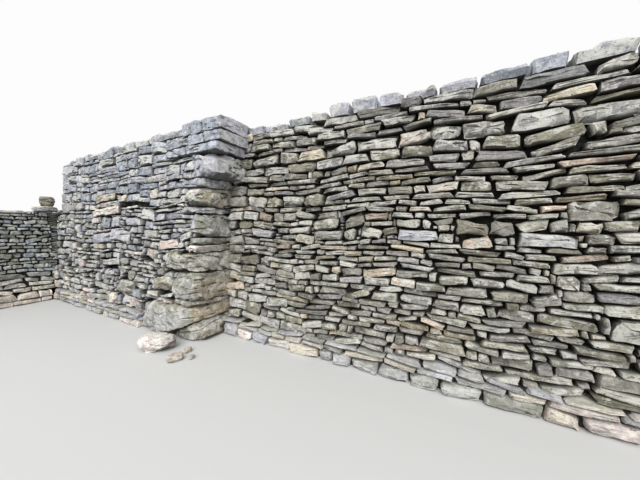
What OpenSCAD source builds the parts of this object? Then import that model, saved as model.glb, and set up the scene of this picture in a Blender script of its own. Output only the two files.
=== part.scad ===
// Dry stone wall: a tall run that ends in a pier of boulders, a run set back
// behind the pier, and a low wall that meets the tall run at an inside corner.
// X runs along the tall wall, Y runs through it towards its back, Z is up.
// The origin is on the ground at the foot of the inside corner.

/* [Tall wall] */
// Length from the inside corner to the end of the pier
tall_len = 4450; // [4400:10:4500]
// Height of the tall runs, to the crown of their top course
tall_h = 2900; // [2880:10:2960]
// Thickness at the ground
tall_base = 1300; // [1260:10:1400]
// How far a face leans back for each millimetre of height
batter = 0.07; // [0.05:0.005:0.08]

/* [Recessed run] */
// How far its face stands back behind the face of the tall wall
recess = 450; // [440:10:460]
// Length from the pier to its far end
recessed_len = 4750; // [4000:50:6000]

/* [Low wall] */
// Length, measured out from the face of the tall wall
low_len = 3000; // [2400:50:4000]
// Thickness at the ground
low_base = 750; // [700:10:800]
// Height of its built faces, under the cap slabs
low_h = 1740; // [1700:10:1760]
// Extra height close to the tall wall
low_step_h = 60; // [40:5:80]
// Length of that higher stretch
low_step_len = 280; // [270:10:330]

/* [Courses] */
// Height of the footing course
footing_h = 220; // [160:10:260]
// How far the footing stands out beyond the faces
footing_step = 60; // [40:5:80]
// Thickness of one built skin at the ground
skin = 450; // [440:5:460]
// Height at which the through stones lie
through_z = 1350; // [1300:10:1380]
// Thickness of a through stone
through_t = 120; // [90:5:130]
// Length along the wall of one through stone
through_w = 380; // [300:10:450]
// Spacing of the through stones
through_pitch = 950; // [850:25:1000]
// Height of the top course
cover_h = 150; // [130:5:160]
// How uneven the top course is
cover_rise = 36; // [10:2:45]
// How much the crown drops towards the free end above the low wall
cover_drop = 60; // [0:5:70]

/* [Face stones] */
// Height of one course of the larger stones that the faces are drawn with
course_h = 250; // [220:10:320]
// Length of one of these stones
stone_len = 430; // [380:10:520]
// Width of the open joints between them
joint_w = 24; // [14:2:30]
// Depth of the open joints
joint_depth = 60; // [40:5:80]
// Step by which some of these stones stand back behind others
stone_step = 14; // [0:2:16]

/* [Pier] */
// How far the stones at the top of the pier stand out past its foot
pier_overhang = 300; // [250:10:320]
// Depth of the pier stones into the wall
pier_depth = 850; // [850:10:850]
// Width of the worn edge round each boulder's face
boulder_edge = 46; // [30:2:60]
// Roughness of the boulders
boulder_rough = 16; // [0:2:24]

/* [Hidden] */

body_top = tall_h - cover_h;
skin_back = tall_base - skin;
recessed_far = tall_len + recessed_len;
recessed_skin = 320;
low_skin = 270;
low_end_y = -low_len;
low_step_y = -low_step_len;
corner_top = low_h + low_step_h;
pier_reach = tall_len + pier_overhang;
slack = 10;

// Where a battered face stands at height z
function front_y(z) = batter * z;
function back_y(z) = tall_base - batter * z;
function recess_y(z) = recess + batter * z;
function low_inner_x(z) = -batter * z;
function low_outer_x(z) = -low_base + batter * z;

// A repeatable number from -1 to 1 for a pair of counters
function chance(i, j) = let (v = sin(i * 127.1 + j * 311.7 + 74.7) * 4375.85) 2 * (v - floor(v)) - 1;
function mix(a, b, t) = a + (b - a) * t;

// The crown of a top course is uneven: one step for each stone along it
cover_stone = 290;
function crown(x) = cover_rise
    * (0.5 * sin(x * 0.19) + 0.3 * sin(x * 0.47 + 50) + 0.2 * chance(floor(x / cover_stone), 3));
// The crown drops over the last stretch before the free end
drop_len = 1300;
function crown_drop(x) = cover_drop * pow(max(0, 1 - x / drop_len), 1.5);

// Solids that run through the wall, and along it
module through_wall(y0, y1) translate([0, y1, 0]) rotate([90, 0, 0]) linear_extrude(y1 - y0) children();
module along_wall(x0, x1) translate([x0, 0, 0]) rotate([90, 0, 90]) linear_extrude(x1 - x0) children();
module panel(x0, x1, z0, z1) translate([x0, z0]) square([x1 - x0, z1 - z0]);

// Each pier stone: hidden end, front corner, end at the recess, bed, top, how far its face
// stands proud, how far its foot is cut under, and a number that makes it unlike the others
BASE_BOULDER = [3200, 4240, tall_len, 0, 455, 95, 20, 18];
BASE_SLAB = [3860, 4380, tall_len, 0, 330, 55, 10, 2];
WEDGE_STONE = [3920, 4320, tall_len, 455, 530, 45, 10, 3];
SIDE_BOULDER = [3440, 3900, 3920, 600, 810, 75, 45, 4];
LARGE_BLOCK = [3920, 4430, tall_len, 530, 890, 80, 15, 5];
LONG_BOULDER = [3680, 4430, tall_len, 890, 1160, 90, 50, 6];
LOWER_SLAB = [4240, 4430, tall_len, 1160, 1260, 60, 5, 7];
UPPER_SLAB = [4280, 4410, tall_len, 1260, 1350, 45, 10, 8];
ROUND_BOULDER = [4220, 4400, tall_len, 1350, 1670, 95, 55, 9];
FLAT_SLAB = [3980, 4370, tall_len, 1670, 1760, 30, 5, 10];
RIDGED_BOULDER = [4080, 4390, tall_len, 1760, 2010, 90, 45, 11];
SQUARE_BLOCK = [4040, 4350, tall_len, 2010, 2130, 30, 5, 12];
OVERHANGING_BOULDER = [4190, pier_reach - 100, pier_reach - 80, 2130, 2440, 70, 55, 13];
LEDGE_SLAB = [3680, pier_reach - 80, pier_reach - 60, 2440, 2560, 55, 10, 14];
UPPER_BLOCK = [4160, pier_reach - 30, pier_reach - 10, 2560, 2700, 22, 6, 15];
TOP_BLOCK = [4010, pier_reach - 20, pier_reach, 2700, tall_h - 20, 18, 0, 16];
PIER = [BASE_BOULDER, BASE_SLAB, WEDGE_STONE, SIDE_BOULDER, LARGE_BLOCK, LONG_BOULDER, LOWER_SLAB,
    UPPER_SLAB, ROUND_BOULDER, FLAT_SLAB, RIDGED_BOULDER, SQUARE_BLOCK, OVERHANGING_BOULDER,
    LEDGE_SLAB, UPPER_BLOCK, TOP_BLOCK];

// Share of the bulge at a given share of a boulder's height: none at its beds, full at its middle
bulge_power = 3.2;
function bulge(t) = pow(max(0, 1 - pow(abs(2 * t - 1), bulge_power)), 1 / bulge_power);

// How far out of its corner line a boulder's face lies
function face_out(b, t) = b[5] * bulge(t) - boulder_edge * (1 - bulge(t)) - b[6] * pow(1 - t, 3);

// A boulder's roughness at one of its outline's points
function rough(b, i, t) = boulder_rough * chance(i + 11 * b[7], floor(t * 9 + 0.5));

// A boulder's exposed outline at height share t: along its front, round its corner, along its end
edge_round = 110;
side_round = 30;
hidden_tuck = 22;
function pier_outline(b, t) = let (
    z = mix(b[3], b[4], t),
    overhangs = b[2] > tall_len,
    turned = b[2] - b[1] < 25,
    y_front = front_y(z),
    y_deep = overhangs ? recess_y(z) : recess - footing_step - slack,
    out = face_out(b, t),
    round = min(edge_round, 0.3 * (b[1] - b[0])),
    limit = turned && !overhangs ? b[2] : b[2] + side_round,
    corner = [b[1], y_front],
    side = [b[2], y_deep] - corner,
    side_len = norm(side),
    n_side = [side[1], -side[0]] / side_len,
    front_points = [for (i = [0:3]) let (x = mix(b[0], b[1] - round, i / 3))
        [x, y_front - out * (i == 0 ? 0.4 : 1) + (i == 0 ? hidden_tuck : 0) + rough(b, i, t)]],
    corner_points = [for (i = [1:2]) let (s = i / 3, q = 1 - s,
        p = q * q * (corner - [round, 0]) + 2 * q * s * corner + s * s * (corner + round * side / side_len),
        n = mix([0, -1], n_side, s))
        p + n * (out + rough(b, i + 3, t))],
    side_points = [for (i = [0:2]) let (s = mix(round / side_len, 0.86, i / 2),
        r = (out * (1 - 0.6 * s) + rough(b, i + 5, t)) * (i == 2 ? 0.5 : 1))
        corner + side * s + n_side * r],
    deep_points = overhangs
        ? [[b[2], y_deep], [tall_len, y_deep], [tall_len, pier_depth], [b[0], pier_depth]]
        : [[b[2], y_deep], [b[2], pier_depth], [b[0], pier_depth]])
    concat([for (p = concat(front_points, corner_points, side_points)) [min(p[0], limit), p[1]]], deep_points);

// Heights at which a stone's outline is drawn, as shares of its height
RINGS = [0, 0.07, 0.24, 0.5, 0.76, 0.93, 1];

// Skin over a stack of outlines of equal count, closed by its two flat beds
module stack_of_outlines(outlines, heights) {
    n = len(outlines[0]);
    m = len(outlines);
    points = [for (k = [0:m - 1]) for (p = outlines[k]) [p[0], p[1], heights[k]]];
    sides = [for (k = [0:m - 2]) for (i = [0:n - 1]) let (j = (i + 1) % n)
        each [[k * n + i, (k + 1) * n + i, k * n + j], [k * n + j, (k + 1) * n + i, (k + 1) * n + j]]];
    polyhedron(points, concat(sides, [[for (i = [0:n - 1]) i]], [[for (i = [n - 1:-1:0]) (m - 1) * n + i]]));
}

module pier_stone(b)
    stack_of_outlines([for (t = RINGS) pier_outline(b, t)], [for (t = RINGS) mix(b[3], b[4], t)]);

// The space of every pier stone, seen along Y, which the built skins leave free
clear_of_wall = 200;
module pier_cells() {
    for (b = PIER) panel(b[0], pier_reach + clear_of_wall, b[3], b[4]);
    panel(BASE_BOULDER[0], pier_reach + clear_of_wall, -clear_of_wall, BASE_BOULDER[4]);
    panel(tall_len, pier_reach + clear_of_wall, -clear_of_wall, tall_h + clear_of_wall);
}

// Long and short stones at a free end, alternating course by course
module end_teeth(z0, z1, long, short, rise) {
    count = ceil((z1 - z0) / rise);
    for (i = [0:count - 1])
        panel(0, i % 2 == 0 ? long : short, z0 + i * rise, min(z1, z0 + (i + 1) * rise));
}
module left_end_face() end_teeth(corner_top, body_top, 480, 300, 190);
module recessed_end_face() translate([recessed_far, 0]) mirror([1, 0])
    end_teeth(footing_h, body_top, 520, 320, 230);

// Places of the through stones along each run
TALL_THROUGHS = [for (i = [0:3]) 260 + i * through_pitch];
RECESSED_THROUGHS = [for (i = [0:3]) tall_len + 420 + i * through_pitch];
module through_faces(places) for (x = places) panel(x, x + through_w, through_z, through_z + through_t);

// Cross-sections of the tall and recessed runs, seen along X. A face can be set back by a given depth
module front_section(z0, z1, y_in, back = 0)
    polygon([[front_y(z0) + back, z0], [y_in, z0], [y_in, z1], [front_y(z1) + back, z1]]);
module back_section(z0, z1, y_in, back = 0)
    polygon([[y_in, z0], [back_y(z0) - back, z0], [back_y(z1) - back, z1], [y_in, z1]]);
module whole_section(z0, z1, y_front = 0)
    polygon([[y_front + front_y(z0), z0], [back_y(z0), z0], [back_y(z1), z1], [y_front + front_y(z1), z1]]);

// The larger stones of a face, seen square on. Courses differ in height and stones in length,
// and the stones belong to three sets in turn, each standing a step further back
STONE_SETS = [0, 1, 2];
function course_bed(k, count, z0, z1, seed) =
    mix(z0, z1, k / count) + (k > 0 && k < count ? 0.15 * course_h * chance(k, seed) : 0);
function stone_end(i, k, seed) = stone_len * (i + 0.5 * (k % 2) + 0.2 * chance(i, k + seed));
module face_stones(length, z0, z1, seed, set) {
    courses = round((z1 - z0) / course_h);
    for (k = [0:courses - 1], i = [-1:ceil(length / stone_len)])
        if ((i + 2 * k + 3) % 3 == set)
            panel(stone_end(i, k, seed) + joint_w / 2, stone_end(i + 1, k, seed) - joint_w / 2,
                course_bed(k, courses, z0, z1, seed) + joint_w / 2,
                course_bed(k + 1, courses, z0, z1, seed) - joint_w / 2);
}

// A built skin, inside a region given as children: its packed core behind the joints, and its stones
module front_skin(x0, x1, z0, z1, y_out, y_in, seed) {
    intersection() {
        along_wall(x0, x1) translate([y_out, 0]) front_section(z0, z1, y_in - y_out, joint_depth);
        through_wall(0, y_in + slack) children();
    }
    for (set = STONE_SETS) intersection() {
        along_wall(x0, x1) translate([y_out, 0]) front_section(z0, z1, y_in - y_out, set * stone_step);
        through_wall(0, y_out + front_y(z1) + joint_depth + slack) intersection() {
            translate([x0, 0]) face_stones(x1 - x0, z0, z1, seed, set);
            children();
        }
    }
}
module back_skin(x0, x1, z0, z1, y_in, seed) {
    intersection() {
        along_wall(x0, x1) back_section(z0, z1, y_in, joint_depth);
        through_wall(y_in - slack, tall_base) children();
    }
    for (set = STONE_SETS) intersection() {
        along_wall(x0, x1) back_section(z0, z1, y_in, set * stone_step);
        through_wall(back_y(z1) - joint_depth - slack, tall_base) intersection() {
            translate([x0, 0]) face_stones(x1 - x0, z0, z1, seed, set);
            children();
        }
    }
}

// Footings
module tall_footing() {
    color("gainsboro") difference() {
        translate([-low_base - footing_step, -footing_step, 0])
            cube([low_base + footing_step + tall_len, tall_base + 2 * footing_step, footing_h]);
        translate([BASE_BOULDER[0], -2 * footing_step, -1])
            cube([tall_len, pier_depth + 2 * footing_step, footing_h + 2]);
    }
}
module recessed_footing() {
    color("gainsboro") translate([tall_len, recess - footing_step, 0])
        cube([recessed_len + footing_step, tall_base - recess + 2 * footing_step, footing_h]);
}
module low_footing() {
    color("gainsboro") translate([-low_base - footing_step, -low_len - footing_step, 0])
        cube([low_base + 2 * footing_step, low_len, footing_h]);
}

// Tall wall, lower lift: from the footing to the bed of the through stones
module lower_face() {
    difference() {
        panel(0, tall_len, footing_h, through_z);
        pier_cells();
    }
}
module tall_front_lower() {
    color("silver") front_skin(0, tall_len, footing_h, through_z, 0, skin, 60) lower_face();
}
module tall_hearting_lower() {
    color("dimgray") through_wall(skin, skin_back) lower_face();
}
module tall_back_lower() {
    color("darkgray") back_skin(0, tall_len, footing_h, through_z, skin_back, 70)
        panel(0, tall_len, footing_h, through_z);
}
module tall_through_stones() {
    color("lightsteelblue") intersection() {
        along_wall(0, tall_len) whole_section(through_z, through_z + through_t);
        through_wall(0, tall_base) through_faces(TALL_THROUGHS);
    }
}

// Tall wall, upper lift: bedded on the lower lift and let down round the through stones
module upper_face(beside_pier) {
    difference() {
        panel(0, tall_len, through_z, body_top);
        if (beside_pier) pier_cells();
        through_faces(TALL_THROUGHS);
        left_end_face();
    }
}
module tall_front_upper() {
    color("silver") front_skin(0, tall_len, through_z, body_top, 0, skin, 80) upper_face(true);
}
module tall_hearting_upper() {
    color("dimgray") through_wall(skin, skin_back) upper_face(true);
}
module tall_back_upper() {
    color("darkgray") back_skin(0, tall_len, through_z, body_top, skin_back, 90) upper_face(false);
}
module tall_left_end() {
    color("slategray") intersection() {
        along_wall(0, tall_len) whole_section(corner_top, body_top);
        through_wall(0, tall_base) left_end_face();
    }
}

// Top course: its bed is level and its crown follows the stones
crown_tilt = 6;
module cover_outline(x0, x1) {
    count = round((x1 - x0) / cover_stone);
    polygon(concat([[x1, body_top], [x0, body_top]],
        [for (i = [0:count - 1]) let (a = mix(x0, x1, i / count), c = mix(x0, x1, (i + 1) / count),
            z = tall_h - cover_rise + crown(a) - crown_drop(a))
            each [[a, z - crown_tilt * chance(i, 5)], [mix(a, c, 0.9), z + crown_tilt * chance(i, 6)]]],
        [[x1, tall_h - cover_rise]]));
}
module tall_cover_course() {
    color("slategray") {
        intersection() {
            along_wall(0, TOP_BLOCK[0]) whole_section(body_top, tall_h);
            through_wall(0, tall_base) cover_outline(0, TOP_BLOCK[0]);
        }
        intersection() {
            along_wall(TOP_BLOCK[0], tall_len) back_section(body_top, tall_h, pier_depth);
            through_wall(0, tall_base) cover_outline(TOP_BLOCK[0], tall_len);
        }
    }
}

// The base boulder lies on its slab along a bed that rises towards the end of the run
bed_start = [3860, 60];
bed_slope = 0.4;
module under_base_bed() through_wall(-clear_of_wall, pier_depth + slack)
    polygon([[bed_start[0], -slack], [pier_reach, -slack],
        [pier_reach, bed_start[1] + bed_slope * (pier_reach - bed_start[0])], bed_start]);

// Pier of boulders at the end of the tall wall
module pier_base_boulder() {
    color("gainsboro") difference() {
        pier_stone(BASE_BOULDER);
        under_base_bed();
    }
}
module pier_base_slab() {
    color("darkkhaki") intersection() {
        pier_stone(BASE_SLAB);
        under_base_bed();
    }
}
module pier_wedge_stone() color("rosybrown") pier_stone(WEDGE_STONE);
module pier_side_boulder() color("darkgray") pier_stone(SIDE_BOULDER);
module pier_large_block() color("thistle") pier_stone(LARGE_BLOCK);
module pier_long_boulder() color("cornsilk") pier_stone(LONG_BOULDER);
module pier_lower_slab() color("lightgray") pier_stone(LOWER_SLAB);
module pier_upper_slab() color("darkgray") pier_stone(UPPER_SLAB);
module pier_round_boulder() color("lightgray") pier_stone(ROUND_BOULDER);
module pier_flat_slab() color("silver") pier_stone(FLAT_SLAB);
module pier_ridged_boulder() color("tan") pier_stone(RIDGED_BOULDER);
module pier_square_block() color("lightsteelblue") pier_stone(SQUARE_BLOCK);
module pier_overhanging_boulder() color("gray") pier_stone(OVERHANGING_BOULDER);
module pier_ledge_slab() color("slategray") pier_stone(LEDGE_SLAB);
module pier_upper_block() color("lightsteelblue") pier_stone(UPPER_BLOCK);
module pier_top_block() color("lightslategray") pier_stone(TOP_BLOCK);

// Recessed run
module recessed_panel() {
    difference() {
        panel(tall_len, recessed_far, footing_h, body_top);
        through_faces(RECESSED_THROUGHS);
        recessed_end_face();
    }
}
module recessed_front_face() {
    color("silver") front_skin(tall_len, recessed_far, footing_h, body_top, recess, recess + recessed_skin, 100)
        recessed_panel();
}
module recessed_hearting() {
    color("dimgray") through_wall(recess + recessed_skin, tall_base - recessed_skin) recessed_panel();
}
module recessed_back_face() {
    color("darkgray") back_skin(tall_len, recessed_far, footing_h, body_top, tall_base - recessed_skin, 110)
        recessed_panel();
}
module recessed_through_stones() {
    color("lightsteelblue") intersection() {
        along_wall(tall_len, recessed_far) whole_section(through_z, through_z + through_t, recess);
        through_wall(recess, tall_base) through_faces(RECESSED_THROUGHS);
    }
}
module recessed_end() {
    color("slategray") intersection() {
        along_wall(tall_len, recessed_far) whole_section(footing_h, body_top, recess);
        through_wall(recess, tall_base) recessed_end_face();
    }
}
module recessed_cover_course() {
    color("slategray") intersection() {
        along_wall(tall_len, recessed_far) whole_section(body_top, tall_h, recess);
        through_wall(recess, tall_base) cover_outline(tall_len, recessed_far);
    }
}

// Low wall, its side view along X: stepped up close to the tall wall, whose battered face stops it
module low_end_face() translate([low_end_y, 0]) end_teeth(footing_h, low_h, 420, 250, 190);
module low_side_view() {
    difference() {
        polygon([[low_end_y, footing_h], [front_y(footing_h), footing_h], [front_y(corner_top), corner_top],
            [low_step_y, corner_top], [low_step_y, low_h], [low_end_y, low_h]]);
        low_end_face();
    }
}

// Its cross-sections, seen along Y: the inner and the outer half, each with its face set back
module low_inner_section(x_in, back = 0)
    polygon([[x_in, footing_h], [low_inner_x(footing_h) - back, footing_h],
        [low_inner_x(corner_top) - back, corner_top], [x_in, corner_top]]);
module low_outer_section(x_in, back = 0)
    polygon([[x_in, footing_h], [low_outer_x(footing_h) + back, footing_h],
        [low_outer_x(corner_top) + back, corner_top], [x_in, corner_top]]);
module low_inner_face() {
    color("rosybrown") {
        intersection() {
            through_wall(low_end_y, skin) low_inner_section(-low_skin, joint_depth);
            along_wall(-low_base, 0) low_side_view();
        }
        for (set = STONE_SETS) intersection() {
            through_wall(low_end_y, skin) low_inner_section(-low_skin, set * stone_step);
            along_wall(low_inner_x(corner_top) - joint_depth - slack, 0) intersection() {
                translate([low_end_y, 0]) face_stones(low_len + skin, footing_h, corner_top, 120, set);
                low_side_view();
            }
        }
    }
}
module low_hearting() {
    color("dimgray") along_wall(-low_base + low_skin, -low_skin) low_side_view();
}
module outer_skin(y0, y1, seed) {
    intersection() {
        through_wall(y0, y1) low_outer_section(-low_base + low_skin, joint_depth);
        along_wall(-low_base, 0) children();
    }
    for (set = STONE_SETS) intersection() {
        through_wall(y0, y1) low_outer_section(-low_base + low_skin, set * stone_step);
        along_wall(-low_base, low_outer_x(corner_top) + joint_depth + slack) intersection() {
            translate([y0, 0]) face_stones(y1 - y0, footing_h, corner_top, seed, set);
            children();
        }
    }
}
module low_outer_face() {
    color("darkgray") outer_skin(low_end_y, skin, 130) low_side_view();
}
module low_end() {
    color("silver") intersection() {
        through_wall(low_end_y, 0)
            polygon([[low_outer_x(footing_h), footing_h], [low_inner_x(footing_h), footing_h],
                [low_inner_x(low_h), low_h], [low_outer_x(low_h), low_h]]);
        along_wall(-low_base, 0) low_end_face();
    }
}
// The corner stands under the free end of the tall wall and ties both walls together
module low_corner() {
    color("rosybrown") {
        outer_skin(0, tall_base, 140) whole_section(footing_h, corner_top);
        along_wall(-low_base + low_skin, 0) whole_section(footing_h, corner_top);
    }
}

// A slab or loose stone: round in plan, or squarer where power is high, with worn edges
outline_points = 14;
worn_inset = 0.16;
uneven = 0.07;
function stone_outline(size, t, power, seed) = let (inset = 1 - worn_inset * pow(abs(2 * t - 1), 2.4))
    [for (i = [0:outline_points - 1]) let (
        a = i * 360 / outline_points + 9 * chance(i, seed),
        c = cos(a),
        s = sin(a),
        squarer = pow(pow(abs(c), power) + pow(abs(s), power), -1 / power),
        r = squarer * inset * (1 - uneven + uneven * chance(i, seed + 1)))
        [r * c * size[0] / 2, r * s * size[1] / 2]];
STONE_RINGS = [0, 0.2, 0.6, 0.9, 1];
module rough_stone(size, power, seed)
    stack_of_outlines([for (t = STONE_RINGS) stone_outline(size, t, power, seed)],
        [for (t = STONE_RINGS) t * size[2]]);

// Cap slabs lie side by side on the low wall, a little proud of both faces
cap_gap = 12;
cap_lengths = [430, 360, 520, 400, 450, 470];
cap_heights = [62, 74, 55, 80, 66, 70];
slab_power = 7;
slab_proud = 35;
function cap_start(i) = i == 0 ? low_end_y : cap_start(i - 1) + cap_lengths[i - 1] + cap_gap;
function low_middle_x(z) = (low_inner_x(z) + low_outer_x(z)) / 2;
low_top_w = low_base - 2 * batter * low_h;
corner_slab = 330;
corner_slab_start = 175;
module low_cap_slabs() {
    color("darkkhaki") {
        for (i = [0:len(cap_lengths) - 1]) {
            w = low_top_w + slab_proud * (2 + 0.6 * chance(i, 31));
            l = min(cap_lengths[i], low_step_y - cap_gap - cap_start(i));
            translate([low_middle_x(low_h), cap_start(i) + l / 2, low_h])
                rough_stone([w, l, cap_heights[i]], slab_power, 40 + i);
        }
        for (i = [0:2])
            translate([low_middle_x(corner_top),
                corner_slab_start + corner_slab / 2 + i * (corner_slab + 2 * cap_gap), corner_top])
                rough_stone([low_top_w + slab_proud, corner_slab, cap_heights[i]], slab_power, 50 + i);
    }
}

// One thick slab overhangs the inner face where the low wall meets the tall one, and carries a loose stone
overhang_slab = [540, 350, 110];
overhang_at = [-165, low_step_y + 45 + overhang_slab[1] / 2];
module low_overhang_slab() {
    color("rosybrown") translate([overhang_at[0], overhang_at[1], corner_top]) rough_stone(overhang_slab, 6, 21);
}
module low_loose_cap_stone() {
    color("olivedrab") translate([overhang_at[0] + 50, overhang_at[1], corner_top + overhang_slab[2]])
        rotate([0, 0, 80]) rough_stone([290, 250, 200], 2.6, 22);
}

// Stones that have fallen at the foot of the pier: each small one by its place, size and number
LOOSE_STONES = [[[4560, -350], [190, 120, 75], 24], [[4500, -165], [110, 80, 55], 25],
    [[4680, -240], [80, 60, 40], 26]];
module loose_boulder() {
    color("whitesmoke") translate([4110, -290, 0]) rotate([0, 0, 20]) rough_stone([520, 260, 175], 2.8, 23);
}
module loose_small_stones() {
    color("lightgray") for (s = LOOSE_STONES)
        translate([s[0][0], s[0][1], 0]) rotate([0, 0, 25 * s[2]]) rough_stone(s[1], 2.6, s[2]);
}

tall_footing();
tall_front_lower();
tall_back_lower();
tall_hearting_lower();
tall_through_stones();
tall_front_upper();
tall_back_upper();
tall_hearting_upper();
tall_cover_course();
tall_left_end();
pier_base_boulder();
pier_base_slab();
pier_wedge_stone();
pier_side_boulder();
pier_large_block();
pier_long_boulder();
pier_lower_slab();
pier_upper_slab();
pier_round_boulder();
pier_flat_slab();
pier_ridged_boulder();
pier_square_block();
pier_overhanging_boulder();
pier_ledge_slab();
pier_upper_block();
pier_top_block();
recessed_footing();
recessed_front_face();
recessed_back_face();
recessed_hearting();
recessed_through_stones();
recessed_cover_course();
recessed_end();
low_footing();
low_inner_face();
low_outer_face();
low_hearting();
low_corner();
low_end();
low_cap_slabs();
low_overhang_slab();
low_loose_cap_stone();
loose_boulder();
loose_small_stones();
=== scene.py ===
import math
from functools import partial

import bpy
import numpy as np
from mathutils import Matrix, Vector, noise


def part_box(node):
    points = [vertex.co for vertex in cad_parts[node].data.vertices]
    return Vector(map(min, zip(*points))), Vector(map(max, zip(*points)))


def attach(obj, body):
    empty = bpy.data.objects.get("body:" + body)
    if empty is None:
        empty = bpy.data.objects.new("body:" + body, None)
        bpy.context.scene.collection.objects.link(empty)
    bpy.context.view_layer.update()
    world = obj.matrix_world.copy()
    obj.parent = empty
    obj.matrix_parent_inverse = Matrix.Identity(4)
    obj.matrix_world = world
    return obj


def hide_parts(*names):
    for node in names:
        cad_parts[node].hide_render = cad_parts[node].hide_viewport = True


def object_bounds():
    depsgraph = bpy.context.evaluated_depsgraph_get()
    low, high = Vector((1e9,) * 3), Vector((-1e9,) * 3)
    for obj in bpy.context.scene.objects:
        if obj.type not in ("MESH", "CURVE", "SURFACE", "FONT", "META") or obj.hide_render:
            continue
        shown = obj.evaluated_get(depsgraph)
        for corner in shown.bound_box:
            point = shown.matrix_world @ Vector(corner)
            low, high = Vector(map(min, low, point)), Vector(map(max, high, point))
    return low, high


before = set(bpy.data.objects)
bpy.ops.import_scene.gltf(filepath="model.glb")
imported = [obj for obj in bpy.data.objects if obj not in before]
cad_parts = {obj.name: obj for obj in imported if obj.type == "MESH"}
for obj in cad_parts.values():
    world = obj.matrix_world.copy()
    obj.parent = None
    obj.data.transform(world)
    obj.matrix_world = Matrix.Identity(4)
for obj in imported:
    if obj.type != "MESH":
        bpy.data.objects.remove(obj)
cad_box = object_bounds()
bpy.ops.object.select_all(action="DESELECT")

# Camera: a wide lens at eye height, two metres off the recessed run,
# looking left along the tall wall towards the inside corner at its far end.
EYE = (7.26, -2.014, 1.495)
LOOKS_LEFT = 27.64
LOOKS_DOWN = 2.99
LENS = 14.06
bpy.ops.object.camera_add(
    location=EYE, rotation=(math.radians(90 - LOOKS_DOWN), 0, math.radians(LOOKS_LEFT)))
camera = bpy.context.object
camera.name = "camera"
camera.data.lens = LENS
bpy.context.scene.camera = camera

# Footings: the widest course of each wall, large pale limestone blocks bedded in the ground,
# standing a little proud of the faces above them. Every stone is laid dry and is unlike the next,
# so the masonry of the whole wall is drawn stone by stone, laid course on course in this way.
CELL = 0.01  # stones are set out on a grid of this size
LEVEL = 3  # their beds fall on every third row, so that courses line through
JOINT_SHIFTS = (0, 4, -4, 7)  # how far an upright joint may move to miss the one below
SQUAREST = 0.85  # a stone's most height for its length
LONGER, HIGHER = 1.35, 1.5  # how far over its size a stone may be where it closes a gap
FREE, TAKEN = -1, -2
TINY = 0.001
(FAR_LEFT, FOOTING_FRONT, _), (RECESS_X, BACK_FOOT, FOOTING_TOP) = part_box("tall_footing")
FOOTING_STEP = -FOOTING_FRONT
WALL_BACK = BACK_FOOT - FOOTING_STEP
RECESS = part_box("recessed_footing")[0][1] + FOOTING_STEP
WALL_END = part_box("recessed_end")[1][0]
LOW_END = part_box("low_end")[0][1]
LOW_BACK = FAR_LEFT + FOOTING_STEP
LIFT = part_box("tall_through_stones")[0][2]
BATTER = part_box("tall_through_stones")[0][1] / LIFT
BODY_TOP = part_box("tall_front_upper")[1][2]


def face_frame(origin, right, up):
    """Where a face starts, and its directions to the right, up and outward, as a mason sees it."""
    right, up = np.array(right, float), np.array(up, float)
    outward = np.cross(right, up)
    outward[2] = 0 if abs(up[2]) > 0 else outward[2]
    return np.array(origin, float), right, up, outward / np.linalg.norm(outward)


def on_face(face, across, height, out):
    """Points of a face: how far along it, how high, and how far out of it."""
    origin, right, up, outward = face
    return origin + np.outer(across, right) + np.outer(height, up) + np.outer(out, outward)


def lay_stones(width, low, high, size_at, chance, kept_free=()):
    """Cells (left, right, bed, top) that fill a face from its bed upward, each stone on those below."""
    columns = round(width / CELL)
    rows = round((high - low) / CELL)
    owner = np.full((rows, columns), FREE)
    cells = []
    for left, right, bed, top in kept_free:
        area = [min(max(round(value / CELL), 0), limit) for value, limit in
                ((bed - low, rows), (top - low, rows), (left, columns), (right, columns))]
        owner[area[0]:area[1], area[2]:area[3]] = TAKEN
    for row in range(rows):
        column = 0
        while column < columns:
            if owner[row, column] != FREE:
                column += 1
                continue
            end = column
            while end < columns and owner[row, end] == FREE:
                end += 1
            while column < end:
                shortest, longest, thinnest, thickest = size_at(column * CELL, low + row * CELL, chance)
                long = int(chance.triangular(shortest, 0.5 * (shortest + longest), longest) / CELL)
                spare = end - column - long
                if spare < shortest / CELL:  # no room for another stone after this one
                    long = end - column if end - column < LONGER * longest / CELL else (end - column) // 2
                below = owner[row - 1] if row else None
                for shift in JOINT_SHIFTS:
                    joint = column + long + shift
                    if row and LEVEL < joint - column and joint + 2 < end and (
                            len(set(below[joint - 2:joint + 2])) == 1):
                        long += shift
                        break
                long = max(1, long)
                over = owner[row:, column:column + long]
                blocked = np.flatnonzero((over != FREE).any(axis=1))
                room = blocked[0] if len(blocked) else rows - row
                thick = int(chance.uniform(thinnest, thickest) / CELL)
                thick = min(thick, max(LEVEL, int(SQUAREST * long)))
                thick = max(LEVEL, LEVEL * round((row + thick) / LEVEL) - row)
                for beside in (column - 1, column + long):
                    if 0 <= beside < columns and owner[row, beside] >= 0:
                        level = round((cells[owner[row, beside]][3] - low) / CELL) - row
                        if 5 < level <= max(thick + 4, 1.2 * thinnest / CELL):
                            thick = level  # brought up level with its neighbour
                if room - thick < LEVEL:
                    thick = room if room < HIGHER * thickest / CELL else room // 2
                thick = max(1, min(thick, room))
                owner[row:row + thick, column:column + long] = len(cells)
                cells.append((column * CELL, (column + long) * CELL,
                              low + row * CELL, low + (row + thick) * CELL))
                column += long
    return cells


def new_heap():
    """Stones gathered into one mesh: their points, their faces and their tones."""
    return {"points": [], "faces": [], "tones": [], "count": 0}


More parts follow.
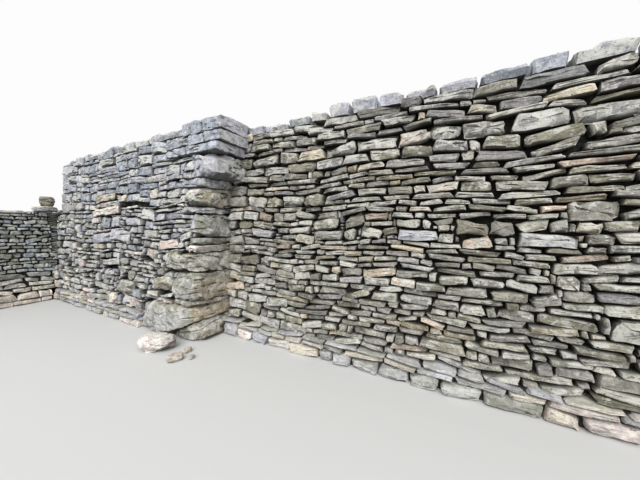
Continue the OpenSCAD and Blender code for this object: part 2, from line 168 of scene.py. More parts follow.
def wander(across, height):
    """Courses that rise and dip, and a face that bellies in and out, as a settled wall's do."""
    lift = 0.016 * np.sin(2.9 * across + 0.8) + 0.006 * np.sin(7.1 * across + 3.3 * height)
    shift = 0.014 * np.sin(4.9 * height + 1.7) + 0.008 * np.sin(13 * height + 5 * across)
    belly = (0.010 * np.sin(2.1 * across + 1.1) * np.sin(2.6 * height)
             + 0.004 * np.sin(7.3 * across + 5 * height))
    return shift, lift, belly


CORNERS = np.array([[-1, -1], [1, -1], [1, 1], [-1, 1]])
LEAST_SIZE = 0.006  # the least that its joints leave of a stone
RIM_STEP = 0.085  # the most between two points along its edge
RING_STEP, LAST_RING = 0.11, 0.16  # the rings along its body, up to close behind the face


def broken_outline(half, chance, worn):
    """The outline of a rough stone: a slab with its corners knocked off, each by its own amount."""
    small = half.min()
    cuts = chance.uniform(0.05, 0.62, (4, 2)) * worn * small
    ends = []
    for k, corner in enumerate(CORNERS):
        place = corner * half
        beside, above = place - [corner[0] * cuts[k, 0], 0], place - [0, corner[1] * cuts[k, 1]]
        elbow = place - corner * cuts[k] * chance.uniform(0.26, 0.44)
        ends.append([above, elbow, beside] if k % 2 == 0 else [beside, elbow, above])
    rim = []
    for k in range(4):
        rim += ends[k]
        start, end = ends[k][2], ends[(k + 1) % 4][0]
        steps = int(np.linalg.norm(end - start) / RIM_STEP)
        rim += [start + (end - start) * (i + 1) / (steps + 1) for i in range(steps)]
    x, y = (np.array(rim) / half).T
    side, lean = chance.choice([-1, 1], 2)
    y = -1 + (y + 1) * (1 - worn * chance.uniform(0, 0.27) * (1 + side * x) / 2)
    x = x * (1 - worn * chance.uniform(0, 0.20) * (1 + lean * y) / 2)
    rim = np.stack([x, y], 1) * half + chance.normal(0, 0.06 * worn * small + 0.001, (len(x), 2))
    turn = chance.normal(0, 1) * min(0.07, 0.009 / half[0]) * worn ** 2
    return rim @ np.array([[math.cos(turn), math.sin(turn)], [-math.sin(turn), math.cos(turn)]])


def add_stone(heap, face, cell, chance, tone, joint=0.005, proud=0.0, reach=0.15, settle=1.0, worn=1.0,
              open_sides=0.0):
    """One rough stone in its cell: a closed body with a broken, uneven face and a rough back."""
    left, right, bed, top = cell
    gap = joint * chance.uniform(0.5, 1.5, 4)
    half = np.maximum([right - left - gap[0] - gap[1], top - bed - gap[2] - gap[3]], LEAST_SIZE) / 2
    middle = np.array([left + gap[0] + half[0], bed + gap[2] + half[1]])
    small = half.min()
    rim = broken_outline(half, chance, worn)
    count = len(rim)

    brow = min(0.003 + 0.06 * small, 0.009)
    cheek = min(0.007 + 0.20 * small, 0.028) * min(1, 0.3 + 0.7 * worn)
    depths = [reach]
    while depths[-1] > LAST_RING:
        depths.append(depths[-1] - RING_STEP)
    # The last value of each ring is its openness: rings set back into the joint get little of it, so shade
    # is painted on the stone's sides
    rings = [(0.15 * small if k == 0 else chance.uniform(-0.02, 0.08) * small, -depth, open_sides)
             for k, depth in enumerate(depths)]
    rings += [(0.0, -0.016 - 0.12 * small, max(0.45, open_sides)), (brow, -0.3 * brow, 0.9),
              (cheek, 0.4 * brow, 1.0), (0.62 * small, 0.5 * brow, 1.0)]
    tilt = chance.normal(0, 0.09, 2)
    turns = np.array([chance.normal(1.6, 0.6), chance.uniform(-3, 3), chance.uniform(-3, 3)])
    chip_ways = np.stack([np.cos(turns), np.sin(turns)])
    chip_starts = chance.uniform([0.1, 0.25, 0.25], 0.95) * (np.abs(chip_ways.T) @ half)
    chips = chance.uniform([0.3, 0.15, 0.1], [1.1, 0.9, 0.7])
    bulge = chance.uniform(-0.02, 0.10) * small
    points, tones = [], []
    for inset, depth, open_share in rings:
        spot = rim * (1 - np.array([inset, inset]) / np.maximum(half, 1e-4))
        out = np.full(count, proud + depth)
        if depth > -0.02:
            spread = np.abs(spot / half).max(axis=1)
            broken = np.maximum(0, spot @ chip_ways - chip_starts) @ chips
            out += spot @ tilt - np.minimum(broken, 0.5 * small + 0.012)
            out += bulge * (1 - spread ** 2) + chance.normal(0, 0.06 * small + 0.001, count)
        else:
            out += 0.35 * (spot @ tilt)
            spot = spot + chance.normal(0, 0.035 * small + 0.001, spot.shape) * open_sides
        points.append((spot + middle, out))
        tones.append(np.full(count, open_share))
    spots = np.concatenate([p for p, _ in points] + [middle[None]])
    outs = np.concatenate([o for _, o in points] + [[proud + 0.7 * brow + bulge]])
    shift, lift, belly = wander(middle[0] + np.array([-0.05, 0.0, 0.05]), middle[1])
    slope = (lift[2] - lift[0]) / 0.1
    rise = lift[1] + slope * (spots[:, 0] - middle[0])
    heap["points"].append(on_face(face, spots[:, 0] + settle * shift[1], spots[:, 1] + settle * rise,
                                  outs + settle * belly[1]))
    start = heap["count"]
    step = np.arange(count)
    following = (step + 1) % count
    for k in range(len(rings) - 1):
        low, high = start + k * count, start + (k + 1) * count
        heap["faces"] += np.stack([low + step, low + following, high + following, high + step], 1).tolist()
    last = start + (len(rings) - 1) * count
    centre = start + len(rings) * count
    heap["faces"] += [[last + i, last + j, centre] for i, j in zip(step, following)]
    heap["faces"].append([start + i for i in step[::-1]])
    open_shares = np.concatenate(tones + [[1.0]])
    stone_tones = np.tile(np.append(tone, 1.0), (len(open_shares), 1))
    stone_tones[:, 3] = open_shares
    heap["tones"].append(stone_tones)
    heap["count"] = centre + 1


def add_core(heap, face, left, right, bed, top, near=0.115, far=0.24):
    """The packing close behind the face stones, seen only through the joints, painted dark as their shade.
    """
    spots = [(left, bed), (right, bed), (right, top), (left, top)]
    across, height = np.array(spots * 2).T
    heap["points"].append(on_face(face, across, height, [-far] * 4 + [-near] * 4))
    a = heap["count"]
    heap["faces"] += [[a + 3, a + 2, a + 1, a], [a + 4, a + 5, a + 6, a + 7]]
    heap["faces"] += [[a + i, a + (i + 1) % 4, a + 4 + (i + 1) % 4, a + 4 + i] for i in range(4)]
    # Dark tone and no openness: the packing is painted as the shade seen through the joints
    heap["tones"].append(np.tile([0.3, 0.5, 0.5, 0.0], (8, 1)))
    heap["count"] += 8


def colour(red, green, blue):
    """A colour as seen on a screen, 0 to 255, turned into the shader's own scale."""
    return tuple((value / 255) ** 2.2 for value in (red, green, blue)) + (1.0,)


def fill_sockets(tree, node, sockets):
    """Sets each of a node's sockets to a value, or links it to an output."""
    for name, value in sockets.items():
        if isinstance(value, bpy.types.NodeSocket):
            tree.links.new(value, node.inputs[name])
        else:
            node.inputs[name].default_value = value


def add_node(tree, kind, sockets=None, **settings):
    """A shader node with its settings and its sockets."""
    node = tree.nodes.new(kind)
    for name, value in settings.items():
        setattr(node, name, value)
    fill_sockets(tree, node, sockets or {})
    return node


def worked_out(tree, operation, *values):
    """The output of a Math node."""
    return add_node(tree, "ShaderNodeMath", dict(enumerate(values)), operation=operation).outputs[0]


def between(tree, value, low, high, bottom=0.0):
    """A value's smooth passage from low to high, as a mask."""
    sockets = {"Value": value, "From Min": low, "From Max": high, "To Min": bottom}
    return add_node(tree, "ShaderNodeMapRange", sockets, interpolation_type="SMOOTHSTEP").outputs["Result"]


def blended(tree, share, under, over, blend="MIX"):
    """Two colours mixed by a mask."""
    node = add_node(tree, "ShaderNodeMix", {0: share, 6: under, 7: over}, data_type="RGBA", blend_type=blend)
    return node.outputs[2]


def grain(tree, position, scale, detail=4.0, roughness=0.6, distortion=0.0):
    """A cloudy pattern of a given fineness."""
    sockets = {"Vector": position, "Scale": scale, "Detail": detail, "Roughness": roughness,
               "Distortion": distortion}
    return add_node(tree, "ShaderNodeTexNoise", sockets).outputs["Fac"]


def grey(tree, value):
    """A value as a grey colour."""
    return add_node(tree, "ShaderNodeCombineColor", {"Red": value, "Green": value, "Blue": value}).outputs[0]


# Colours of the bedrock the wall was gathered from, along the hue that each stone carries
BED_COLOURS = [(0.00, colour(92, 96, 103)), (0.16, colour(154, 160, 169)), (0.34, colour(172, 172, 181)),
               (0.50, colour(166, 166, 163)), (0.62, colour(152, 150, 139)), (0.70, colour(160, 147, 128)),
               (0.80, colour(203, 196, 181)), (0.90, colour(201, 186, 180)), (1.00, colour(232, 229, 223))]
# Pale lichen colour, also a painted highlight on upward faces
LICHEN_AND_TOP_HIGHLIGHT = colour(214, 213, 205)
# Stain colour, also used as painted shade on downward faces
DAMP_STAIN_AND_SHADE = colour(62, 62, 56)
PIT_DIRT = colour(48, 47, 43)
DARK_MOSS, BRIGHT_MOSS = colour(62, 66, 38), colour(128, 124, 70)


def weathered_limestone():
    """Limestone left out for many years: mottled, pitted, lichened, stained and mossy on its ledges,
    with painted shade in its joints, hollows and undersides and a painted highlight on its tops."""
    group = bpy.data.node_groups.new("weathered limestone", "ShaderNodeTree")
    for side, sockets in (("INPUT", {"Tone": "Color", "Openness": "Float", "Position": "Vector",
                                     "Tint": "Color", "Mottling": "Float", "Lichen": "Float",
                                     "Stain": "Float", "Moss": "Float"}),
                          ("OUTPUT", {"Color": "Color", "Roughness": "Float", "Height": "Float"})):
        for name, kind in sockets.items():
            group.interface.new_socket(name, in_out=side, socket_type=f"NodeSocket{kind}")
    given = group.nodes.new("NodeGroupInput").outputs
    result = group.nodes.new("NodeGroupOutput").inputs
    place = given["Position"]
    added = partial(worked_out, group, "ADD")
    times = partial(worked_out, group, "MULTIPLY")
    times_plus = partial(worked_out, group, "MULTIPLY_ADD")

    def swing(pattern, gain):
        """A pattern's swing to either side of its middle."""
        return times_plus(pattern, gain, -gain / 2)

    tone = add_node(group, "ShaderNodeSeparateColor", {"Color": given["Tone"]}).outputs
    broad = grain(group, place, 4.5, 3.0)
    patchy = grain(group, place, 15.0, 6.0, 0.68, 0.4)
    fine = grain(group, place, 70.0, 4.0, 0.7)
    flattened = add_node(group, "ShaderNodeMapping", {"Vector": place, "Scale": (7.0, 7.0, 46.0)})
    bedding = grain(group, flattened.outputs[0], 1.0, 4.0, 0.6, 0.6)
    normal = add_node(group, "ShaderNodeNewGeometry").outputs["Normal"]
    facing = add_node(group, "ShaderNodeSeparateXYZ", {"Vector": normal}).outputs["Z"]

    ramp = add_node(group, "ShaderNodeValToRGB", {"Fac": added(tone["Green"], swing(broad, 0.22))})
    for place_on_ramp, _ in BED_COLOURS[1:-1]:
        ramp.color_ramp.elements.new(place_on_ramp)
    for stop, (place_on_ramp, bed_colour) in zip(ramp.color_ramp.elements, BED_COLOURS):
        stop.position = place_on_ramp
        stop.color = bed_colour
    change = added(added(swing(patchy, 2.8), swing(fine, 1.1)), swing(bedding, 0.5))
    light = times(times_plus(tone["Red"], 0.85, 0.55), times_plus(change, given["Mottling"], 1.0))
    body = blended(group, 1.0, ramp.outputs["Color"], grey(group, light), "MULTIPLY")
    body = blended(group, 1.0, body, given["Tint"], "MULTIPLY")

    spread = grain(group, place, 11.0, 9.0, 0.72, 0.3)
    # Lichen, leaning to upward faces; the lean also paints a highlight on the tops
    growth = times_plus(facing, 0.07, swing(tone["Blue"], 0.26))
    lichen_and_top_highlight = times(between(group, added(spread, growth), 0.50, 0.59), given["Lichen"])
    pale = blended(group, lichen_and_top_highlight, body, LICHEN_AND_TOP_HIGHLIGHT)

    damp_and_underside_shade = between(group, grain(group, place, 6.5, 7.0, 0.7, 0.8), 0.50, 0.66)
    # Painted shade: downward faces are darkened with the stain colour, on top of the real stain patches
    under = times(between(group, facing, -0.15, -0.8), 0.8)
    damp_and_underside_shade = worked_out(group, "MAXIMUM", times(damp_and_underside_shade, given["Stain"]), under)
    dirt_and_shade = blended(group, damp_and_underside_shade, pale, DAMP_STAIN_AND_SHADE)
    pits = add_node(group, "ShaderNodeTexVoronoi", {"Vector": place, "Scale": 38.0}).outputs[0]
    pit = times(between(group, pits, 0.26, 0.10), between(group, patchy, 0.42, 0.56))
    dirt_and_shade = blended(group, times(pit, 0.6), dirt_and_shade, PIT_DIRT)

    ledge = added(times_plus(facing, 0.55, times_plus(broad, 2.4, -1.35)), swing(patchy, 1.8))
    cover = times(between(group, ledge, 0.10, 0.45), given["Moss"])
    cover = times(cover, between(group, tone["Blue"], 0.25, 0.7, 0.25))
    green = blended(group, between(group, fine, 0.35, 0.7), DARK_MOSS, BRIGHT_MOSS)
    grown = blended(group, cover, dirt_and_shade, green)

    # Painted shade: the less open a point is, deep in a joint, in a dip or crack, or on the packing behind
    # the face, the darker its colour
    joints = between(group, given["Openness"], 0.0, 0.9, 0.10)
    rise = added(added(times(patchy, 0.75), times(fine, 0.22)), times(bedding, 0.42))
    rise = worked_out(group, "SUBTRACT", rise, times(pit, 0.30))
    group.links.new(blended(group, 1.0, grown, grey(group, joints), "MULTIPLY"), result["Color"])
    group.links.new(times_plus(fine, 0.16, 0.80), result["Roughness"])
    group.links.new(added(rise, times(cover, 0.15)), result["Height"])
    return group


LIMESTONE = weathered_limestone()


def limestone(name, mottling=0.8, lichen=0.6, stain=0.35, moss=0.1, relief=0.018, tint=(1.0, 1.0, 1.0)):
    """A finish of weathered limestone for one kind of stone. The tint multiplies the bedrock's colour."""
    material = bpy.data.materials.new(name)
    material.use_nodes = True
    tree = material.node_tree
    tree.nodes.clear()
    # The attribute's alpha is how open each point is; the finish paints shade in the joints from it
    tone = add_node(tree, "ShaderNodeAttribute", attribute_name="stone").outputs
    place = add_node(tree, "ShaderNodeTexCoord").outputs["Object"]
    sockets = {"Tone": tone["Color"], "Openness": tone["Alpha"], "Position": place, "Tint": (*tint, 1.0),
               "Mottling": mottling, "Lichen": lichen, "Stain": stain, "Moss": moss}
    finish = add_node(tree, "ShaderNodeGroup", sockets, node_tree=LIMESTONE).outputs
    bump = add_node(tree, "ShaderNodeBump",
                    {"Height": finish["Height"], "Distance": relief, "Strength": 0.9})
    shader = add_node(tree, "ShaderNodeBsdfPrincipled",
                      {"Base Color": finish["Color"], "Roughness": finish["Roughness"],
                       "Normal": bump.outputs["Normal"], "Specular IOR Level": 0.25})
    add_node(tree, "ShaderNodeOutputMaterial", {"Surface": shader.outputs["BSDF"]})
    return material


def finish_piece(piece, nodes, material):
    """Gives a piece its finish and puts it in the place of its nodes."""
    piece.data.materials.clear()
    piece.data.materials.append(material)
    piece.data.shade_smooth()
    piece.data.set_sharp_from_angle(angle=math.radians(33))
    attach(piece, "root")
    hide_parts(*nodes)


def heap_piece(heap, name, nodes, material):
    """Joins a heap of stones into one piece, kept within the frame's box."""
    mesh = bpy.data.meshes.new(name)
    points = np.clip(np.concatenate(heap["points"]), cad_box[0], cad_box[1])
    mesh.from_pydata(points.tolist(), [], heap["faces"])
    tones = mesh.color_attributes.new("stone", "FLOAT_COLOR", "POINT")
    tones.data.foreach_set("color", np.concatenate(heap["tones"]).ravel())
    piece = bpy.data.objects.new(name, mesh)
    bpy.context.scene.collection.objects.link(piece)
    finish_piece(piece, nodes, material)


def footing_tone(chance, pale):
    """Greys, creams and pinks; nearly white where the footing is a pale one."""
    hue = chance.choice([0.44, 0.54, 0.80, 0.92, 0.36], p=[0.35, 0.15, 0.2, 0.2, 0.1])
    if pale:
        hue = chance.choice([0.84, 0.92, 0.97])
    return np.array([chance.uniform(0.45, 0.85) + 0.6 * pale, hue + chance.normal(0, 0.02),
                     chance.uniform(0.2, 0.9)])


FOOTING_SIZES = (0.16, 0.46, 0.10, 0.20)
footing_stone = limestone("footing_stone", mottling=0.7, lichen=0.5, stain=0.3, moss=0.35)
FRONT = face_frame((0, 0, 0), (1, 0, 0), (0, BATTER, 1))
RECESSED_FRONT = face_frame((0, RECESS, 0), (1, 0, 0), (0, BATTER, 1))
pier_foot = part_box("pier_base_boulder")[0][0]
RIM = 0.09
CORNER_STONE = 0.32


def footing(node, runs, fill, seed, pale=False):
    """A ring of footing stones round a packed middle. A run is where it starts and ends, and whether
    each of these is a corner. One square stone stands at the corner where a run starts."""
    chance = np.random.default_rng(seed)
    heap = new_heap()
    for start, end, starts, ends in runs:
        way = np.subtract(end, start)
        length = float(np.abs(way).max())
        face = face_frame((*start, 0), (*way / length, 0), (0, 0, 1))
        first, last = (0, CORNER_STONE, 0, FOOTING_TOP), (length - CORNER_STONE, length, 0, FOOTING_TOP)
        if starts:
            add_stone(heap, face, first, chance, footing_tone(chance, pale), proud=-0.012,
                      reach=CORNER_STONE, settle=0.0, worn=0.6, open_sides=1.0)
        for cell in lay_stones(length, 0, FOOTING_TOP, lambda *_: FOOTING_SIZES, chance,
                               [first] * starts + [last] * ends):
            add_stone(heap, face, cell, chance, footing_tone(chance, pale),
                      proud=chance.uniform(-0.03, -0.012), reach=0.24, settle=0.0, open_sides=0.8)
    for low, high in fill:
        flat = face_frame((0, 0, 0), (1, 0, 0), (0, 1, 0))
        add_core(heap, flat, low[0], high[0], low[1], high[1], near=-FOOTING_TOP + 0.02, far=0.0)
    heap_piece(heap, f"{node}_stones", [node], footing_stone)


footing("tall_footing",
        [((0, -FOOTING_STEP), (pier_foot, -FOOTING_STEP), False, False),
         ((RECESS_X, BACK_FOOT), (FAR_LEFT, BACK_FOOT), False, True),
         ((FAR_LEFT, BACK_FOOT), (FAR_LEFT, -FOOTING_STEP), True, False)],
        [((FAR_LEFT + RIM, -FOOTING_STEP + RIM), (pier_foot, BACK_FOOT - RIM)),
         ((pier_foot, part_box("pier_base_boulder")[1][1]), (RECESS_X, BACK_FOOT - RIM))], 11)
front_foot, end_foot = RECESS - FOOTING_STEP, WALL_END + FOOTING_STEP
footing("recessed_footing",
        [((RECESS_X, front_foot), (end_foot, front_foot), False, True),
         ((end_foot, front_foot), (end_foot, BACK_FOOT), True, True),
         ((end_foot, BACK_FOOT), (RECESS_X, BACK_FOOT), True, False)],
        [((RECESS_X, front_foot + RIM), (end_foot - RIM, BACK_FOOT - RIM))], 12)
low_foot = LOW_END - FOOTING_STEP
footing("low_footing",
        [((FOOTING_STEP, low_foot), (FOOTING_STEP, -FOOTING_STEP), True, False),
         ((FAR_LEFT, -FOOTING_STEP), (FAR_LEFT, low_foot), False, True),
         ((FAR_LEFT, low_foot), (FOOTING_STEP, low_foot), True, True)],
        [((FAR_LEFT + RIM, low_foot + RIM), (FOOTING_STEP - RIM, -FOOTING_STEP))], 13, True)

# Tall wall, front: limestone rubble laid dry, small flat stones in its lower lift and larger
# blocks above, with a few pale and coloured stones that catch the eye and holes where stones are lost.
# A noted stone is its left end, right end, bed and top, then light, hue, growth and how proud it stands.
NOTED_STONES = [
    (0.93, 1.34, 1.98, 2.16, 0.45, 0.22, 0.4, 0.010), (1.60, 2.31, 1.92, 2.05, 0.62, 0.80, 0.3, 0.035),
    (1.62, 2.42, 1.68, 1.83, 0.85, 0.86, 0.5, 0.045), (1.86, 2.13, 1.46, 1.67, 0.44, 0.20, 0.5, 0.020),
    (2.14, 2.44, 1.47, 1.66, 0.54, 0.28, 0.5, 0.010),
    (1.66, 2.19, 1.22, 1.41, 0.45, 0.30, 0.3, 0.015), (2.19, 2.73, 1.25, 1.44, 0.55, 0.36, 0.6, 0.020),
    (2.62, 2.92, 1.51, 1.65, 0.50, 0.34, 0.2, 0.010), (2.51, 3.02, 1.77, 1.81, 0.90, 0.98, 0.4, 0.035),
    (1.81, 2.52, 0.84, 0.96, 0.62, 0.48, 0.4, 0.030), (1.54, 2.25, 0.42, 0.53, 0.55, 0.50, 0.5, 0.010),
    (2.47, 2.99, 0.43, 0.66, 0.45, 0.58, 0.5, 0.025), (1.49, 2.21, 0.23, 0.32, 0.45, 0.56, 0.4, 0.000),
    (3.63, 4.00, 2.15, 2.23, 0.50, 0.28, 0.4, 0.025), (3.71, 3.89, 2.03, 2.15, 0.48, 0.22, 0.3, 0.010),
    (3.63, 4.02, 1.82, 1.90, 0.60, 0.44, 0.5, 0.020), (3.57, 3.99, 1.20, 1.33, 0.62, 0.88, 0.4, 0.020),
    (3.66, 4.17, 2.58, 2.70, 0.50, 0.26, 0.3, 0.030), (0.02, 0.34, 2.24, 2.40, 0.42, 0.30, 0.6, 0.010),
    (0.38, 0.66, 2.36, 2.52, 0.42, 0.34, 0.5, 0.000), (2.90, 3.28, 2.28, 2.44, 0.52, 0.24, 0.3, 0.015),
    (2.52, 2.86, 2.40, 2.58, 0.50, 0.20, 0.4, 0.010), (3.30, 3.66, 2.44, 2.58, 0.54, 0.30, 0.3, 0.020)]
HOLLOWS = [(2.41, 3.28, 1.81, 1.88), (2.57, 2.76, 0.66, 0.76), (1.95, 2.38, 0.79, 0.84),
           (1.25, 1.52, 0.66, 0.70), (3.15, 3.42, 0.98, 1.03), (0.42, 0.62, 0.78, 0.82),
           (3.60, 3.98, 2.11, 2.15)]


def vectors_of(items, attribute="co"):
    """One vector for each of a mesh's vertices: its place, or another attribute."""
    values = np.empty(len(items) * 3)
    items.foreach_get(attribute, values)
    return values.reshape(-1, 3)


def through_spaces(node):
    """The ends of a run's through stones, found from the frame."""
    places = vectors_of(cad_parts[node].data.vertices)
    starts = np.unique(places[:, 0].round(3))
    low, high = places[:, 2].min(), places[:, 2].max()
    return [(left, right, low, high) for left, right in zip(starts[::2], starts[1::2])]


def quoin_courses(low, top, rise, longer, shorter):
    """The length, bed and top of each quoin up a free end, a long one and a short one in turn."""
    courses = []
    while low < top - TINY:
        courses.append((shorter if len(courses) % 2 else longer, low, min(top, low + rise)))
        low += rise
    return courses


def moved(places, by):
    """Places along a face, measured from another start."""
    return [(left + by, right + by, low, high) for left, right, low, high, *_ in places]


def from_far_end(places, width):
    """Places along a face, measured from its other end."""
    return [(width - right, width - left, low, high) for left, right, low, high in places]


# The front that each pier stone takes, up to the run's end, less what the rubble runs in behind it
RUN_IN = 0.06
PIER_SPACES = [(low[0] + RUN_IN, high[0] + 0.5, low[2], high[2])
               for low, high in (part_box(node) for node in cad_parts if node.startswith("pier_"))]
TALL_THROUGHS = through_spaces("tall_through_stones")
LEFT_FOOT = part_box("tall_left_end")[0][2]
END_COVER = 0.06  # what the packing, painted dark as joint shade, keeps back from a free end
LEFT_RISE = 0.19
LEFT_QUOINS = quoin_courses(LEFT_FOOT, BODY_TOP, LEFT_RISE, 0.48, 0.30)
LEFT_TEETH = [(0.0, length, low, high) for length, low, high in LEFT_QUOINS]


def tall_sizes(across, height, chance):
    """Rubble with chips wedged in it in the lower lift, larger blocks towards the top and the right."""
    if chance.random() < (0.24 if height < 1.7 else 0.10):
        return 0.06, 0.16, 0.05, 0.10
    if height < 0.45:
        return 0.14, 0.36, 0.12, 0.22
    if height < 1.55:
        return 0.12, 0.31, 0.09, 0.19
    if height < 2.05:
        return 0.14, 0.38, 0.10, 0.19
    return (0.22, 0.52, 0.13, 0.24) if across > 1.6 else (0.16, 0.40, 0.11, 0.20)


def closeness(height):
    """How closely the stones are fitted: loosely with deep joints low down, tightly high up."""
    return min(max((height - 1.2) / 1.0, 0), 1)


def tall_tone(height, chance):
    """Blue and mauve greys high up, neutral greys with pale and rusty stones low down, cream at the foot."""
    if height < 0.42 and chance.random() < 0.5:
        return np.array([chance.uniform(0.45, 0.8), chance.choice([0.54, 0.80, 0.92, 0.98]),
                         chance.uniform(0.2, 0.9)])
    high = closeness(height)
    if chance.random() < 0.08 + 0.88 * high:
        hue = chance.uniform(0.11, 0.35)
    else:
        hue = chance.choice([0.40, 0.48, 0.54, 0.80, 0.90, 1.0], p=[0.34, 0.38, 0.14, 0.06, 0.05, 0.03])
    light = chance.normal(np.interp(height, (0.6, 1.5, 2.3), (0.47, 0.39, 0.60)), 0.22 - 0.13 * high)
    return np.array([np.clip(light, 0.05, 1.0), np.clip(hue + chance.normal(0, 0.02), 0, 1),
                     chance.uniform(0, 1)])


face_stone = limestone("face_stone", mottling=0.85, lichen=0.75, stain=0.4, moss=0.12)
chance = np.random.default_rng(21)
tall_lower, tall_upper, corner = new_heap(), new_heap(), new_heap()
INTO_CORNER = 0.14  # how far the front runs on behind the low wall's inner face
CORNER_LAP = 0.03  # how far a course passes the other wall's leaning face in the corner
kept_free = moved(PIER_SPACES + TALL_THROUGHS + LEFT_TEETH + HOLLOWS + NOTED_STONES, INTO_CORNER)
kept_free += [(0, INTO_CORNER, LEFT_FOOT, BODY_TOP)]
for left, right, low, high in lay_stones(
        RECESS_X + INTO_CORNER, FOOTING_TOP, BODY_TOP,
        lambda across, *place: tall_sizes(across - INTO_CORNER, *place), chance, kept_free):
    height = (low + high) / 2
    left = -BATTER * height - CORNER_LAP if left == 0 else left - INTO_CORNER
    right = max(right - INTO_CORNER, left + 0.06)
    heap = corner if left + right < 0 else tall_lower if height < LIFT else tall_upper
    loose = 1 - closeness(height)
    add_stone(heap, FRONT, (left, right, low, high), chance, tall_tone(height, chance),
              joint=(0.003 + 0.006 * loose) * chance.uniform(0.4, 1.3), open_sides=0.5 * (1 - loose),
              worn=0.75 + 0.6 * loose,
              proud=np.clip(chance.normal(0.004, 0.010 + 0.014 * loose), -0.035, 0.05))
for left, right, low, high, light, hue, growth, proud in NOTED_STONES:
    heap = tall_lower if (low + high) / 2 < LIFT else tall_upper
    add_stone(heap, FRONT, (left, right, low, high), chance, np.array([light, hue, growth]),
              proud=proud, reach=0.20, worn=0.9)

levels = sorted({FOOTING_TOP, LIFT, BODY_TOP, LEFT_FOOT} | {
    value for cell in PIER_SPACES for value in cell[2:] if FOOTING_TOP < value < BODY_TOP})
for low, high in zip(levels[:-1], levels[1:]):
    starts = [cell[0] for cell in PIER_SPACES if cell[2] < high - TINY and cell[3] > low + TINY]
    heap = tall_lower if high <= LIFT + TINY else tall_upper
    add_core(heap, FRONT, END_COVER if low > LEFT_FOOT - TINY else 0, min(starts), low, high)
heap_piece(tall_lower, "tall_front_lower_stones", ["tall_front_lower"], face_stone)
heap_piece(tall_upper, "tall_front_upper_stones", ["tall_front_upper"], face_stone)

# Through stones: long slabs that tie the two skins together, laid right through the wall in one row.
# Their rough ends show in both faces, a little proud of the rubble round them.
through_stone = limestone("through_stone", mottling=0.8, lichen=0.5, stain=0.3, moss=0.1)


def through_stones(name, node, places, front, thickness, seed):
    """The row of through stones in one run, drawn from both faces to the wall's middle."""
    chance = np.random.default_rng(seed)
    heap = new_heap()
    back = face_frame((0, WALL_BACK, 0), (-1, 0, 0), (0, -BATTER, 1))
    for left, right, low, high in places:
        tone = np.array([chance.uniform(0.4, 0.65), chance.uniform(0.2, 0.6), chance.uniform(0, 1)])
        half = thickness / 2
        add_stone(heap, front, (left, right, low, high), chance, tone, proud=0.015, reach=half)
        add_stone(heap, back, (-right, -left, low, high), chance, tone, proud=0.015, reach=half)
    heap_piece(heap, name, [node], through_stone)


through_stones("tall_through_blocks", "tall_through_stones", TALL_THROUGHS, FRONT,
               WALL_BACK - 2 * BATTER * LIFT, 31)
RECESSED_THROUGHS = through_spaces("recessed_through_stones")
through_stones("recessed_through_blocks", "recessed_through_stones", RECESSED_THROUGHS, RECESSED_FRONT,
               WALL_BACK - RECESS - 2 * BATTER * LIFT, 32)

# Back of the tall and recessed runs: one plain face of the same rubble from end to end,
# laid a little more coarsely than the front because it is only the field side.
END_QUOINS = quoin_courses(FOOTING_TOP, BODY_TOP, 0.23, 0.52, 0.32)
RECESSED_TEETH = [(WALL_END - length, WALL_END, low, high) for length, low, high in END_QUOINS]
CORNER_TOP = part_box("low_corner")[1][2]
BACK = face_frame((WALL_END, WALL_BACK, 0), (-1, 0, 0), (0, -BATTER, 1))
chance = np.random.default_rng(41)
back_lower, back_upper, recessed_back = new_heap(), new_heap(), new_heap()
LONG_QUOIN, SHORT_QUOIN = 0.42, 0.26
BACK_SIZES = (0.14, 0.40, 0.08, 0.18)
CORNER_QUOINS = []
beds = np.linspace(FOOTING_TOP, CORNER_TOP, 10)
for number, (low, high) in enumerate(zip(beds[:-1], beds[1:])):
    along_x, along_y = (LONG_QUOIN, SHORT_QUOIN) if number % 2 else (SHORT_QUOIN, LONG_QUOIN)
    CORNER_QUOINS.append((LOW_BACK + BATTER * (low + high) / 2, along_x, along_y, low, high))
kept_free = [(LOW_BACK, edge + along_x, low, high) for edge, along_x, _, low, high in CORNER_QUOINS]
kept_free += TALL_THROUGHS + RECESSED_THROUGHS + LEFT_TEETH + RECESSED_TEETH
kept_free += [(LOW_BACK, 0, CORNER_TOP, BODY_TOP)]
for cell in lay_stones(WALL_END - LOW_BACK, FOOTING_TOP, BODY_TOP, lambda *_: BACK_SIZES, chance,
                       from_far_end(kept_free, WALL_END)):
    x, height = WALL_END - (cell[0] + cell[1]) / 2, (cell[2] + cell[3]) / 2
    heap = (recessed_back if x > RECESS_X else corner if x < 0
            else back_lower if height < LIFT else back_upper)
    add_stone(heap, BACK, cell, chance, tall_tone(height, chance), joint=0.007,
              proud=np.clip(chance.normal(0, 0.012), -0.03, 0.025))
for edge, along_x, along_y, low, high in CORNER_QUOINS:
    place = (WALL_END - edge - along_x, WALL_END - edge, low, high)
    add_stone(corner, BACK, place, chance, tall_tone(low, chance), proud=-0.004, reach=along_y,
              worn=0.5, settle=0.3, open_sides=1.0)
add_core(back_lower, BACK, WALL_END - RECESS_X, WALL_END, FOOTING_TOP, LIFT)
add_core(back_upper, BACK, WALL_END - RECESS_X, WALL_END, LIFT, CORNER_TOP)
add_core(back_upper, BACK, WALL_END - RECESS_X, WALL_END - END_COVER, CORNER_TOP, BODY_TOP)
add_core(recessed_back, BACK, END_COVER, WALL_END - RECESS_X, FOOTING_TOP, BODY_TOP)
heap_piece(back_lower, "tall_back_lower_stones", ["tall_back_lower"], face_stone)
heap_piece(back_upper, "tall_back_upper_stones", ["tall_back_upper"], face_stone)
heap_piece(recessed_back, "recessed_back_stones", ["recessed_back_face"], face_stone)

